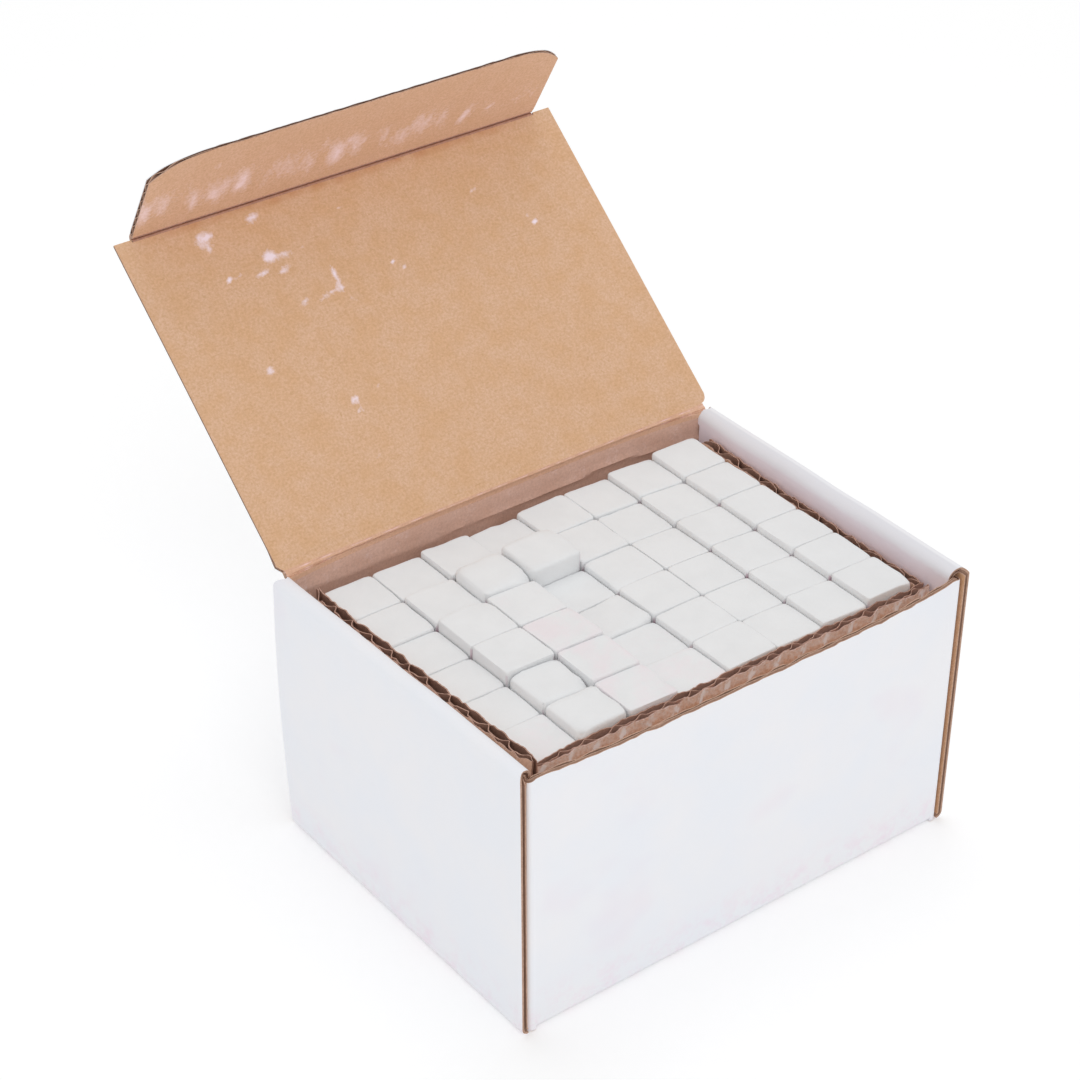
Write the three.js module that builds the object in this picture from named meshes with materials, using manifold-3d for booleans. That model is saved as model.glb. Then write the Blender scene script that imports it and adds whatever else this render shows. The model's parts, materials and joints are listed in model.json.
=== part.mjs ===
// A box of gymnastics chalk: a small corrugated mailer with rolled side walls and a tuck-in lid,
// packed with three layers of square chalk blocks and three corrugated pads that keep them tight.
// Millimetres, +Z up, +X to the viewer's right. The front panel faces -Y and the lid hinges at +Y.
// The origin is the middle of the underside of the tray.
import * as THREE from "three";
import { mergeVertices } from "three/addons/utils/BufferGeometryUtils.js";
import Module from "manifold-3d";

const wasm = await Module();
wasm.setup();

// ---- driving dimensions ----
const boxWidth = 136;
const boxDepth = 98.5;
const wallHeight = 77;
const board = 1.5;
const clearance = 0.3;
const creaseRadius = 2.5;

// Side walls: each is one board rolled over an ear of the front panel and one of the back panel.
const rollFoldRadius = 1.1;
const rollWidth = 3 * board + 2 * clearance;
const rollSetback = 2;
const tabLength = 18;
const tabOffset = 22;

// Front and back panels: the top edge leans and bows outwards, and each end folds into an ear.
const earLength = 40;
const earTop = 74.6;
const frontPanel = { top: 75.8, lean: 1.2, bow: 2.4 };
const backPanel = { top: 75, lean: 0, bow: 2.4 };

// Lid and tuck flap. The two angles are at rest: how far the lid is open, and the flap's fold.
const lidLength = 93;
const lidOpenAngle = 139;
const flapFoldAngle = 78.8;
const hingeInset = 0.75;
const hingeRise = 0.2;
const foldDepth = 0.1;
const lidStart = 1.2;
const lidCornerCut = 2.4;
const flapHeight = 29.4;
const flapHalfWidth = 62.5;
const flapStraightSide = 22.8;
const flapCornerLength = 15.5;
const flapRoot = 1.2;
const flapSlot = 0.5;

// Corrugated pads: two liners with a fluted sheet between them, flutes upright.
const padThickness = 3.5;
const padLiner = 0.45;
const fluteSheet = 0.4;
const flutePitch = 7.8;
const cellStart = 0.08;
const frontPadInset = 5.8;
const leftPad = { back: 44.5, topFront: 74.2, topBack: 71.6 };
const frontPad = { top: 71.6 };
const rightPad = { back: 41, topFront: 71.2, topBack: 71.6 };

// Chalk: eight columns from left to right and six rows from back to front, in three layers.
const blockWidth = 13.9;
const blockLength = 13.7;
const layerRise = 23.3;
const topBlockHeight = 22.3;
const blockEdge = 0.9;
const rowGap = 0.32;
const columnGaps = [0.4, 1.2, 0.35, 2.3, 0.35, 0.9, 0.9];
const rowCount = 6;
const grooveDepth = 15;
// How far each top block stands above or below its nominal height, row by row from the back.
const blockRise = [
  [-0.2, -0.2, 0.3, -0.6, 0.6, 0.5, 0.9, 1.5],
  [-0.3, 0.8, 2.8, 4.0, 0.4, 0.0, 0.5, 1.3],
  [-0.9, 2.2, 1.5, -1.6, 0.0, 0.0, 0.6, 1.2],
  [-0.9, 2.3, 1.6, -0.9, 0.2, 0.0, 0.4, 1.2],
  [-0.9, 1.5, 1.4, -1.4, 0.1, -0.2, 0.4, 1.2],
  [-0.6, 1.9, 0.9, -0.6, 0.4, 0.1, 0.6, 1.4],
];

// ---- places worked out from the driving dimensions ----
const halfWidth = boxWidth / 2;
const halfDepth = boxDepth / 2;
const floorTop = board + clearance;
const creaseEnd = halfWidth - creaseRadius;
const earOuter = halfWidth - board - clearance;
const earInner = earOuter - board;
const rollInner = halfWidth - rollWidth;
const padOuterX = rollInner - clearance;
const padInnerX = padOuterX - padThickness;
const padOuterY = frontPadInset - halfDepth;
const padInnerY = padOuterY + padThickness;
const columnCount = columnGaps.length + 1;
const fieldWidth = columnCount * blockWidth + columnGaps.reduce((sum, gap) => sum + gap, 0);
const chalkLeft = -fieldWidth / 2;
const chalkFront = padInnerY + clearance;
const rowPitch = blockLength + rowGap;
const chalkBack = chalkFront + rowCount * rowPitch - rowGap;
const hingeY = halfDepth - hingeInset;
const hingeZ = wallHeight + hingeRise;

// ---- materials ----
const whiteLiner = { color: 0xe6e7eb, roughness: 0.75, metalness: 0 };
const kraft = { color: 0xc8a581, roughness: 0.9, metalness: 0 };
const padKraft = { color: 0xa37d67, roughness: 0.95, metalness: 0 };
const chalk = { color: 0xdfdfdf, roughness: 1, metalness: 0 };

// ---- helpers ----
function arc(cx, cy, radius, fromDegrees, toDegrees, steps) {
  const points = [];
  for (let i = 0; i <= steps; i += 1) {
    const angle = THREE.MathUtils.degToRad(fromDegrees + ((toDegrees - fromDegrees) * i) / steps);
    points.push([cx + radius * Math.cos(angle), cy + radius * Math.sin(angle)]);
  }
  return points;
}

function line(from, to, steps) {
  const points = [];
  for (let i = 0; i <= steps; i += 1) {
    const t = i / steps;
    points.push([from[0] + (to[0] - from[0]) * t, from[1] + (to[1] - from[1]) * t]);
  }
  return points;
}

function vectors(points) {
  return points.map(([u, v]) => new THREE.Vector2(u, v));
}

function extrude(points, depth, steps = 1) {
  const shape = new THREE.Shape(vectors(points));
  return new THREE.ExtrudeGeometry(shape, { depth, steps, bevelEnabled: false });
}

// A section drawn in X and Z, made from one Y to another.
function extrudeAlongY(points, fromY, toY) {
  const geometry = extrude(points, toY - fromY);
  geometry.rotateX(Math.PI / 2);
  geometry.translate(0, toY, 0);
  return geometry;
}

// A section drawn in Y and Z, made from one X to another.
function extrudeAlongX(points, fromX, toX, steps = 1) {
  const geometry = extrude(points, toX - fromX, steps);
  const turn = new THREE.Matrix4().makeBasis(
    new THREE.Vector3(0, 1, 0),
    new THREE.Vector3(0, 0, 1),
    new THREE.Vector3(1, 0, 0),
  );
  geometry.applyMatrix4(turn);
  geometry.translate(fromX, 0, 0);
  return geometry;
}

function boxBetween(low, high) {
  const geometry = new THREE.BoxGeometry(...high.map((value, i) => value - low[i]));
  geometry.translate(...high.map((value, i) => (value + low[i]) / 2));
  return geometry;
}

function welded(geometry) {
  geometry.deleteAttribute("normal");
  geometry.deleteAttribute("uv");
  return mergeVertices(geometry, 1e-4);
}

function mirrored(geometry, axis) {
  const flipped = welded(geometry);
  flipped.scale(axis === "x" ? -1 : 1, axis === "y" ? -1 : 1, 1);
  const index = flipped.index.array;
  for (let i = 0; i < index.length; i += 3) {
    [index[i], index[i + 1]] = [index[i + 1], index[i]];
  }
  return flipped;
}

function moved(geometry, shift) {
  const position = geometry.attributes.position;
  const point = new THREE.Vector3();
  for (let i = 0; i < position.count; i += 1) {
    point.fromBufferAttribute(position, i);
    shift(point);
    position.setXYZ(i, point.x, point.y, point.z);
  }
  return geometry;
}

function solidOf(geometry) {
  const closed = welded(geometry);
  const vertProperties = new Float32Array(closed.attributes.position.array);
  const triVerts = new Uint32Array(closed.index.array);
  return new wasm.Manifold(new wasm.Mesh({ numProp: 3, vertProperties, triVerts }));
}

function geometryOf(solid) {
  const result = solid.getMesh();
  const geometry = new THREE.BufferGeometry();
  geometry.setAttribute("position", new THREE.BufferAttribute(result.vertProperties, 3));
  geometry.setIndex(new THREE.BufferAttribute(result.triVerts, 1));
  return geometry;
}

function mesh(name, geometry, look) {
  const made = new THREE.Mesh(geometry, new THREE.MeshStandardMaterial(look));
  made.name = name;
  return made;
}

// ---- tray ----
// Each side of the bottom panel has two notches for the tabs of the rolled side wall.
function bottomPanel() {
  const endX = creaseEnd - clearance;
  const endY = halfDepth - creaseRadius - clearance;
  const reach = tabLength / 2 + clearance;
  const notchX = rollInner - clearance;
  let panel = solidOf(boxBetween([-endX, -endY, 0], [endX, endY, board]));
  for (const y of [-tabOffset, tabOffset]) {
    const left = boxBetween([-endX - 1, y - reach, -1], [-notchX, y + reach, board + 1]);
    const right = boxBetween([notchX, y - reach, -1], [endX + 1, y + reach, board + 1]);
    panel = panel.subtract(solidOf(left)).subtract(solidOf(right));
  }
  return mesh("bottom_panel", geometryOf(panel), kraft);
}

// Section of the right side wall: up the outside, over the roll and down the inside.
function rolledWallSection() {
  const foldZ = wallHeight - rollFoldRadius;
  const underFold = wallHeight - board;
  return [
    ...arc(creaseEnd, creaseRadius, creaseRadius, -90, 0, 5),
    ...arc(halfWidth - rollFoldRadius, foldZ, rollFoldRadius, 0, 90, 4),
    ...arc(rollInner + rollFoldRadius, foldZ, rollFoldRadius, 90, 180, 4),
    [rollInner, floorTop],
    [rollInner + board, floorTop],
    [rollInner + board, underFold],
    [halfWidth - board, underFold],
    ...arc(creaseEnd, creaseRadius, creaseRadius - board, 0, -90, 3),
  ];
}

// The roll stops short of the front panel, and its inner face stops short of the back panel.
function rolledWall() {
  const endY = halfDepth - rollSetback;
  const inside = rollInner - 1;
  const outerInside = halfWidth - board;
  const above = wallHeight + 1;
  const backCorner = [
    [halfDepth + 1, above],
    ...arc(halfDepth - creaseRadius, wallHeight - creaseRadius, creaseRadius, 90, 0, 4),
    [halfDepth + 1, wallHeight - creaseRadius],
  ];
  backCorner.splice(1, 0, [halfDepth - creaseRadius, above]);
  const underFold = wallHeight - board;
  const cuts = [
    boxBetween([inside, -halfDepth - 1, floorTop / 2], [outerInside, -endY, above]),
    boxBetween([inside, endY, floorTop / 2], [outerInside, halfDepth + 1, underFold]),
    extrudeAlongX(backCorner, inside, halfWidth + 1),
  ];
  let wall = solidOf(extrudeAlongY(rolledWallSection(), -halfDepth, halfDepth));
  for (const cut of cuts) wall = wall.subtract(solidOf(cut));
  for (const y of [-tabOffset, tabOffset]) {
    const low = [rollInner, y - tabLength / 2, clearance];
    const high = [rollInner + board, y + tabLength / 2, floorTop + 1];
    wall = wall.add(solidOf(boxBetween(low, high)));
  }
  return geometryOf(wall);
}

// Upright section of a front panel in Y and Z, with the crease that joins it to the bottom panel.
function endPanelSection(top) {
  const creaseY = creaseRadius - halfDepth;
  return [
    ...arc(creaseY, creaseRadius, creaseRadius, 270, 180, 4),
    ...line([-halfDepth, creaseRadius], [-halfDepth, top], 8).slice(1),
    ...line([board - halfDepth, top], [board - halfDepth, creaseRadius], 8),
    ...arc(creaseY, creaseRadius, creaseRadius - board, 180, 270, 3).slice(1),
  ];
}

// Corner and ear of a front panel, drawn in X and Y.
function earSection() {
  const face = -halfDepth;
  return [
    [earInner - 2, face],
    ...arc(earOuter - board, face + board, board, 270, 360, 4),
    [earOuter, face + earLength],
    [earInner, face + earLength],
    [earInner, face + board],
    [earInner - 2, face + board],
  ];
}

function endPanel({ top, lean, bow }) {
  const bulge = (point) => {
    const across = Math.min(1, Math.abs(point.x) / (earInner - 1));
    const up = point.z / top;
    point.y -= lean * up + bow * (1 - across ** 4) * up ** 1.5;
  };
  const wallEnd = earInner - 1;
  const wall = extrudeAlongX(endPanelSection(top), -wallEnd, wallEnd, 20);
  let panel = solidOf(moved(wall, bulge));
  const ear = () => {
    const geometry = extrude(earSection(), earTop - creaseRadius - clearance);
    geometry.translate(0, 0, creaseRadius + clearance);
    return moved(geometry, bulge);
  };
  panel = panel.add(solidOf(ear())).add(solidOf(mirrored(ear(), "x")));
  return geometryOf(panel);
}

// ---- lid ----
// Drawn flat from the hinge line along +Y; +Z is the inside face.
function lidPanel() {
  const narrow = halfWidth - lidCornerCut;
  const slot = flapHalfWidth + clearance;
  const right = [
    [narrow, lidStart],
    [halfWidth, lidStart + lidCornerCut],
    [halfWidth, lidLength],
    [slot, lidLength],
    [slot, lidLength - flapSlot],
  ];
  const left = right.map(([x, y]) => [-x, y]).reverse();
  const geometry = extrude([...right, ...left], board);
  geometry.translate(0, 0, -foldDepth - board);
  return mesh("lid_panel", geometry, kraft);
}

function lidTuckFlap() {
  const rise = flapHeight - flapStraightSide;
  const radius = (flapCornerLength ** 2 + rise ** 2) / (2 * rise);
  const start = THREE.MathUtils.radToDeg(Math.acos(flapCornerLength / radius));
  const centreX = flapHalfWidth - flapCornerLength;
  const corner = arc(centreX, flapHeight - radius, radius, start, 90, 8);
  const right = [[flapHalfWidth, -flapRoot], ...corner];
  const left = right.map(([x, y]) => [-x, y]).reverse();
  const geometry = extrude([...right, ...left], board);
  geometry.translate(0, 0, -board);
  return mesh("lid_tuck_flap", geometry, kraft);
}

function lid() {
  const flapHinge = new THREE.Group();
  flapHinge.position.set(0, lidLength, -foldDepth);
  flapHinge.rotation.x = THREE.MathUtils.degToRad(flapFoldAngle);
  flapHinge.add(lidTuckFlap());
  const lidHinge = new THREE.Group();
  lidHinge.position.set(0, hingeY, hingeZ);
  lidHinge.rotation.x = THREE.MathUtils.degToRad(180 - lidOpenAngle);
  lidHinge.add(lidPanel(), flapHinge);
  return lidHinge;
}

// ---- pads ----
// Holes between the fluted sheet and both liners, for a pad from 0 to length along U.
function fluteCells(length) {
  const half = padThickness / 2;
  const space = half - padLiner;
  const swing = space - fluteSheet / 2;
  const cells = [];
  const steps = 8;
  for (let start = 0; start + flutePitch / 2 < length; start += flutePitch / 2) {
    const side = cells.length % 2 === 0 ? 1 : -1;
    const from = start + cellStart * flutePitch;
    const to = Math.min(start + (1 - cellStart) * flutePitch, length - padLiner);
    if (to - from < flutePitch / 4) break;
    const wave = line([from, 0], [to, 0], steps).map(([u]) => {
      const turn = (2 * Math.PI * (u - start)) / flutePitch;
      return [u, side * (swing * Math.cos(turn) + fluteSheet / 2)];
    });
    cells.push([...wave, [to, side * space], [from, side * space]]);
  }
  return cells;
}

// Drawn with U along +X and the thickness across Y, upright from the tray floor to a sloping top.
function pad(length, topStart, topEnd) {
  const half = padThickness / 2;
  let sheet = solidOf(boxBetween([0, -half, 0], [length, half, 1]));
  for (const cell of fluteCells(length)) {
    const hole = extrude(cell, 3);
    hole.translate(0, 0, -1);
    sheet = sheet.subtract(solidOf(hole));
  }
  return moved(geometryOf(sheet), (point) => {
    const top = topStart + ((topEnd - topStart) * point.x) / length;
    point.z = point.z > 0.5 ? top : floorTop;
  });
}

function pads() {
  const left = pad(leftPad.back - padOuterY, leftPad.topFront, leftPad.topBack);
  left.rotateZ(Math.PI / 2);
  left.translate(-(padOuterX + padInnerX) / 2, padOuterY, 0);
  const frontStart = clearance - padInnerX;
  const front = pad(padOuterX - frontStart, frontPad.top, frontPad.top);
  front.translate(frontStart, (padOuterY + padInnerY) / 2, 0);
  const rightStart = padInnerY + clearance;
  const right = pad(rightPad.back - rightStart, rightPad.topFront, rightPad.topBack);
  right.rotateZ(Math.PI / 2);
  right.translate((padOuterX + padInnerX) / 2, rightStart, 0);
  return [
    mesh("pad_left", left, padKraft),
    mesh("pad_front", front, padKraft),
    mesh("pad_right", right, padKraft),
  ];
}

// ---- chalk ----
function columnLeft(column) {
  const gaps = columnGaps.slice(0, column).reduce((sum, gap) => sum + gap, 0);
  return chalkLeft + column * blockWidth + gaps;
}

function rowFront(row) {
  return chalkBack - blockLength - row * rowPitch;
}

// A block with its twelve edges bevelled.
function bevelledBlock(low, high) {
  const geometry = new THREE.ExtrudeGeometry(
    new THREE.Shape(
      vectors([
        [low[0] + blockEdge, low[1] + blockEdge],
        [high[0] - blockEdge, low[1] + blockEdge],
        [high[0] - blockEdge, high[1] - blockEdge],
        [low[0] + blockEdge, high[1] - blockEdge],
      ]),
    ),
    {
      depth: high[2] - low[2] - 2 * blockEdge,
      bevelThickness: blockEdge,
      bevelSize: blockEdge,
      bevelSegments: 1,
    },
  );
  geometry.translate(0, 0, low[2] + blockEdge);
  return geometry;
}

function topBlock(row, column) {
  const bottom = floorTop + 2 * layerRise + clearance;
  const top = bottom + topBlockHeight + blockRise[row][column];
  const left = columnLeft(column);
  const front = rowFront(row);
  const low = [left, front, bottom];
  const high = [left + blockWidth, front + blockLength, top];
  return mesh(`chalk_block_r${row + 1}_c${column + 1}`, welded(bevelledBlock(low, high)), chalk);
}

// A lower layer is one solid, scored from above along the joints between its blocks.
function lowerLayer(name, level) {
  const bottom = floorTop + level * layerRise;
  const top = bottom + layerRise - clearance;
  const right = chalkLeft + fieldWidth;
  let layer = solidOf(boxBetween([chalkLeft, chalkFront, bottom], [right, chalkBack, top]));
  const cut = top - grooveDepth;
  for (let column = 1; column < columnCount; column += 1) {
    const end = columnLeft(column);
    const start = end - columnGaps[column - 1];
    const low = [start, chalkFront - 1, cut];
    layer = layer.subtract(solidOf(boxBetween(low, [end, chalkBack + 1, top + 1])));
  }
  for (let row = 1; row < rowCount; row += 1) {
    const start = rowFront(row) + blockLength;
    const low = [chalkLeft - 1, start, cut];
    layer = layer.subtract(solidOf(boxBetween(low, [right + 1, start + rowGap, top + 1])));
  }
  return mesh(name, geometryOf(layer), chalk);
}

// ---- assembly ----
const chalkBox = new THREE.Group();
chalkBox.add(
  bottomPanel(),
  mesh("front_panel", endPanel(frontPanel), whiteLiner),
  mesh("back_panel", mirrored(endPanel(backPanel), "y"), whiteLiner),
  mesh("left_side_wall", mirrored(rolledWall(), "x"), whiteLiner),
  mesh("right_side_wall", rolledWall(), whiteLiner),
  lid(),
  ...pads(),
  lowerLayer("chalk_bottom_layer", 0),
  lowerLayer("chalk_middle_layer", 1),
);
for (let row = 0; row < rowCount; row += 1) {
  for (let column = 0; column < columnCount; column += 1) {
    chalkBox.add(topBlock(row, column));
  }
}

export default chalkBox;
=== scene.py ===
"""Looks of a small mailer box of gymnastics chalk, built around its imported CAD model.

Shapes are drawn in millimetres, in the CAD's own frame, and turned into metres when a piece is made.
A board is drawn as two matching surfaces, its white outer face and its brown inner face. Each layer of
the board (outer liner, fluted sheet, inner liner) is one closed sheet laid between the two.
"""

import json
import math

import bmesh
import bpy
import numpy as np
from mathutils import Matrix, Vector


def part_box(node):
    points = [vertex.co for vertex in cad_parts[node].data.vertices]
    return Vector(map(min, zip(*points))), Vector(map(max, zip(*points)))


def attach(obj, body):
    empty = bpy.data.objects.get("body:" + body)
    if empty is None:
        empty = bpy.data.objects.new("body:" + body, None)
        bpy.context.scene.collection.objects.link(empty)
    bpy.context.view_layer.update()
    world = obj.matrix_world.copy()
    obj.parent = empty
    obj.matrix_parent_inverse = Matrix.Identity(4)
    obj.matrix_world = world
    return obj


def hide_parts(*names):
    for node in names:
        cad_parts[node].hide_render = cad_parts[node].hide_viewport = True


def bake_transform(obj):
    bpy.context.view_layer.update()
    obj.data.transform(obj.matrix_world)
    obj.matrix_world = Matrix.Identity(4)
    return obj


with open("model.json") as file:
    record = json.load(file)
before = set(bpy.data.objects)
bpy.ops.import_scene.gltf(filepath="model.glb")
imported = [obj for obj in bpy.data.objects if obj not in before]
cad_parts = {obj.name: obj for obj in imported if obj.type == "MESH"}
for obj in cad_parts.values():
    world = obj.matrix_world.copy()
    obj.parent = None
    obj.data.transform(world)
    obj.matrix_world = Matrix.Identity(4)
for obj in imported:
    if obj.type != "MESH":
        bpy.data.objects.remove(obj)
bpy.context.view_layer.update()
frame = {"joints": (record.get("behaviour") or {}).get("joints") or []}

MM = 0.001


# ---- places taken from the frame, in millimetres ----
def box_mm(node):
    low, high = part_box(node)
    return np.array(low) / MM, np.array(high) / MM


def joint(name):
    return next(j for j in frame["joints"] if j["name"] == name)


WALL_LOW, WALL_HIGH = box_mm("right_side_wall")
BOTTOM_LOW, BOTTOM_HIGH = box_mm("bottom_panel")
FRONT_TOP = box_mm("front_panel")[1][2]
BACK_TOP = box_mm("back_panel")[1][2]
HALF_WIDTH = WALL_HIGH[0]
HALF_DEPTH = WALL_HIGH[1]
WALL_TOP = WALL_HIGH[2]
ROLL_INNER = WALL_LOW[0]
BOARD = BOTTOM_HIGH[2] - BOTTOM_LOW[2]
HINGE_Y, HINGE_Z = (value / MM for value in joint("lid_hinge")["pos_m"][1:])
FOLD_Y, FOLD_Z = (value / MM for value in joint("tuck_flap_hinge")["pos_m"][1:])

# ---- sizes that the boxes don't give ----
GAP = 0.3
FLOOR_TOP = BOARD + GAP
CREASE = 1.75
CORNER = 1.7
LINER = 0.24
FLUTE_SHEET = 0.2
FLUTE_PITCH = 3.39
EAR_LENGTH = 40
EAR_TOP = 74.6
FRONT_BOW = 2.2
FLARE = 0.8
BACK_BOW = 2.4
ROLL_SETBACK = 2
TAB_LENGTH = 18
TAB_OFFSET = 22
LID_SLOPE = math.atan2(FOLD_Z - HINGE_Z, FOLD_Y - HINGE_Y)
LID_START = 1.2
LID_END = 92.3
LID_LENGTH = 93
FOLD_DEPTH = 0.1
FLAP_FOLD = math.radians(78.8)
FLAP_START = 0.8
FLAP_HEIGHT = 29.4
FLAP_STRAIGHT = 22.8
FLAP_HALF_WIDTH = 62.35
FLAP_SHIFT = -0.8
FLAP_CORNER = 15.5


# ---- smooth seeded noise ----
def wobble(points, seed, wavelength, octaves=2):
    """Smooth noise about -1 to 1 at points of shape (..., k), from a few waves in seeded directions."""
    points = np.asarray(points, float)
    draw = np.random.default_rng(seed)
    total = np.zeros(points.shape[:-1])
    weight = 0.0
    for octave in range(octaves):
        share = 0.5**octave
        for _ in range(5):
            way = draw.normal(size=points.shape[-1])
            way *= 2 * math.pi * 2**octave / (wavelength * np.linalg.norm(way))
            way *= draw.uniform(0.7, 1.4)
            total += share * np.sin(points @ way + draw.uniform(0, 2 * math.pi))
        weight += share
    return total / (weight * 2.4)


def wobble_line(values, seed, wavelength, octaves=2):
    return wobble(np.asarray(values, float)[..., None], seed, wavelength, octaves)


def wobble_plane(u, v, seed, wavelength, octaves=2):
    return wobble(np.stack([u, v], -1), seed, wavelength, octaves)


def step(values, start, end):
    """0 before start, 1 after end, smooth between them."""
    t = np.clip((np.asarray(values, float) - start) / (end - start), 0, 1)
    return t * t * (3 - 2 * t)


def bell(values, width):
    """1 at 0, falling away on both sides."""
    return np.exp(-((values / width) ** 2))


def mix(a, b, t):
    return a + (b - a) * t


def spaced(start, end, pitch):
    return np.linspace(start, end, max(2, int(round(abs(end - start) / pitch)) + 1))


def merged(*samples):
    """Several sets of samples as one in order, without doubles."""
    return np.unique(np.round(np.concatenate(samples), 9))


def mirrored(samples):
    return np.concatenate([-samples[::-1], [0], samples])


def both_ways(middle, reach):
    """The four places at reach on both sides of middle and of its mirror image."""
    return np.array([sign * middle + way * reach for sign in (-1, 1) for way in (-1, 1)])


def new_object(name, data):
    made = bpy.data.objects.new(name, data)
    bpy.context.scene.collection.objects.link(made)
    return made


# ---- mesh building ----
class Piece:
    """Collects closed sheets and solids, and becomes one Blender object."""

    def __init__(self, name):
        self.name = name
        self.points, self.quads, self.looks, self.dust = [], [], [], []
        self.count = 0

    def add(self, points, quads, looks=None, dust=None):
        self.points.append(points)
        self.quads.append(quads + self.count)
        self.looks.append(np.zeros(len(quads), int) if looks is None else looks)
        self.dust.append(np.zeros(len(points)) if dust is None else dust)
        self.count += len(points)

    def sheet(self, front, back, looks, dust=None, front_looks=None):
        """A closed sheet between two grids of points. looks are the materials of front, back and edge."""
        rows, columns = front.shape[:2]
        size = rows * columns
        index = np.arange(size).reshape(rows, columns)
        cells = np.stack([index[:-1, :-1], index[1:, :-1], index[1:, 1:], index[:-1, 1:]], -1)
        cells = cells.reshape(-1, 4)
        loop = np.concatenate([index[:-1, 0], index[-1, :-1], index[:0:-1, -1], index[0, :0:-1]])
        after = np.roll(loop, -1)
        edges = np.stack([after, loop, loop + size, after + size], -1)
        quads = np.concatenate([cells, cells[:, ::-1] + size, edges])
        along = front[1:, :-1] - front[:-1, :-1]
        across = front[:-1, 1:] - front[:-1, :-1]
        outward = front[:-1, :-1] - back[:-1, :-1]
        if np.sum(np.cross(along, across) * outward) < 0:
            quads = quads[:, ::-1]
        top = np.full(len(cells), looks[0]) if front_looks is None else front_looks.reshape(-1)
        kinds = np.concatenate([top, np.full(len(cells), looks[1]), np.full(len(edges), looks[2])])
        points = np.concatenate([front.reshape(-1, 3), back.reshape(-1, 3)])
        marks = None if dust is None else np.concatenate([dust.reshape(-1), np.zeros(size)])
        self.add(points, quads, kinds, marks)

    def make(self, materials, smooth_under=35):
        points = np.concatenate(self.points) * MM
        quads = np.concatenate(self.quads)
        mesh = bpy.data.meshes.new(self.name)
        mesh.from_pydata(points.tolist(), [], quads.tolist())
        mesh.polygons.foreach_set("material_index", np.concatenate(self.looks).astype(np.int32))
        mesh.polygons.foreach_set("use_smooth", np.ones(len(quads), bool))
        layer = mesh.attributes.new("dust", "FLOAT", "POINT")
        layer.data.foreach_set("value", np.concatenate(self.dust).astype(np.float32))
        for material in materials:
            mesh.materials.append(material)
        mesh.set_sharp_from_angle(angle=math.radians(smooth_under))
        return new_object(self.name, mesh)


OUTSIDE, INSIDE, EDGE, CORE = 0, 1, 2, 3


def board(name, materials, faces, us, vs, wave, fine, ragged=None, dust=None, outside=None,
          outer_dust_and_light=None, outer_edge=EDGE, liner=LINER, fluted=FLUTE_SHEET, thick=BOARD):
    """A piece: the three layers of a corrugated board between the two surfaces that faces(u, v) returns.

    us and vs are the liners' samples, fine the fluted sheet's. wave(u, v) goes from -1 at the inner
    liner to 1 at the outer one. ragged(u, v, seed) roughens a layer's raw edges.
    """
    def grids(us_here, vs_here, seed):
        u, v = np.meshgrid(us_here, vs_here, indexing="ij")
        outer, inner = faces(u, v)
        if ragged is not None:
            shift = ragged(u, v, seed)
            outer, inner = outer + shift, inner + shift
        return u, v, outer, inner

    piece = Piece(name)
    share = liner / thick
    u, v, outer, inner = grids(us, vs, 1)
    piece.sheet(outer, mix(outer, inner, share), (OUTSIDE, CORE, outer_edge),
                dust=None if outer_dust_and_light is None else outer_dust_and_light(u, v),
                front_looks=None if outside is None else outside(u, v))
    u, v, outer, inner = grids(us, vs, 2)
    piece.sheet(inner, mix(inner, outer, share), (INSIDE, CORE, EDGE),
                dust=None if dust is None else dust(u, v))
    u, v, outer, inner = grids(fine[0], fine[1], 3)
    half = 0.5 * fluted / thick
    swing = 0.5 - share - half - 0.008
    middle = (0.5 + swing * wave(u, v))[..., None]
    piece.sheet(mix(inner, outer, middle + half), mix(inner, outer, middle - half), (CORE, CORE, EDGE))
    return piece.make(materials)


def stacked(x, y, z):
    return np.stack(np.broadcast_arrays(x, y, z), -1).astype(float)


def left_bulge(y, z):
    """How far the left wall is pushed outwards, towards its back end."""
    return 1.5 * np.sin(0.78 * math.pi * np.clip(z / WALL_TOP, 0, 1)) * step(y, -30, 49)


# ---- front and back panels ----
def bowed_out(x, bow):
    """How far a panel's top edge bows outwards at x. The bow is a little fuller on the right."""
    across = np.minimum(1, np.abs(x) / (HALF_WIDTH - BOARD - GAP - 2.5))
    return bow * (1 - across**4) * (1 + 0.16 * x / HALF_WIDTH)


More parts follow.
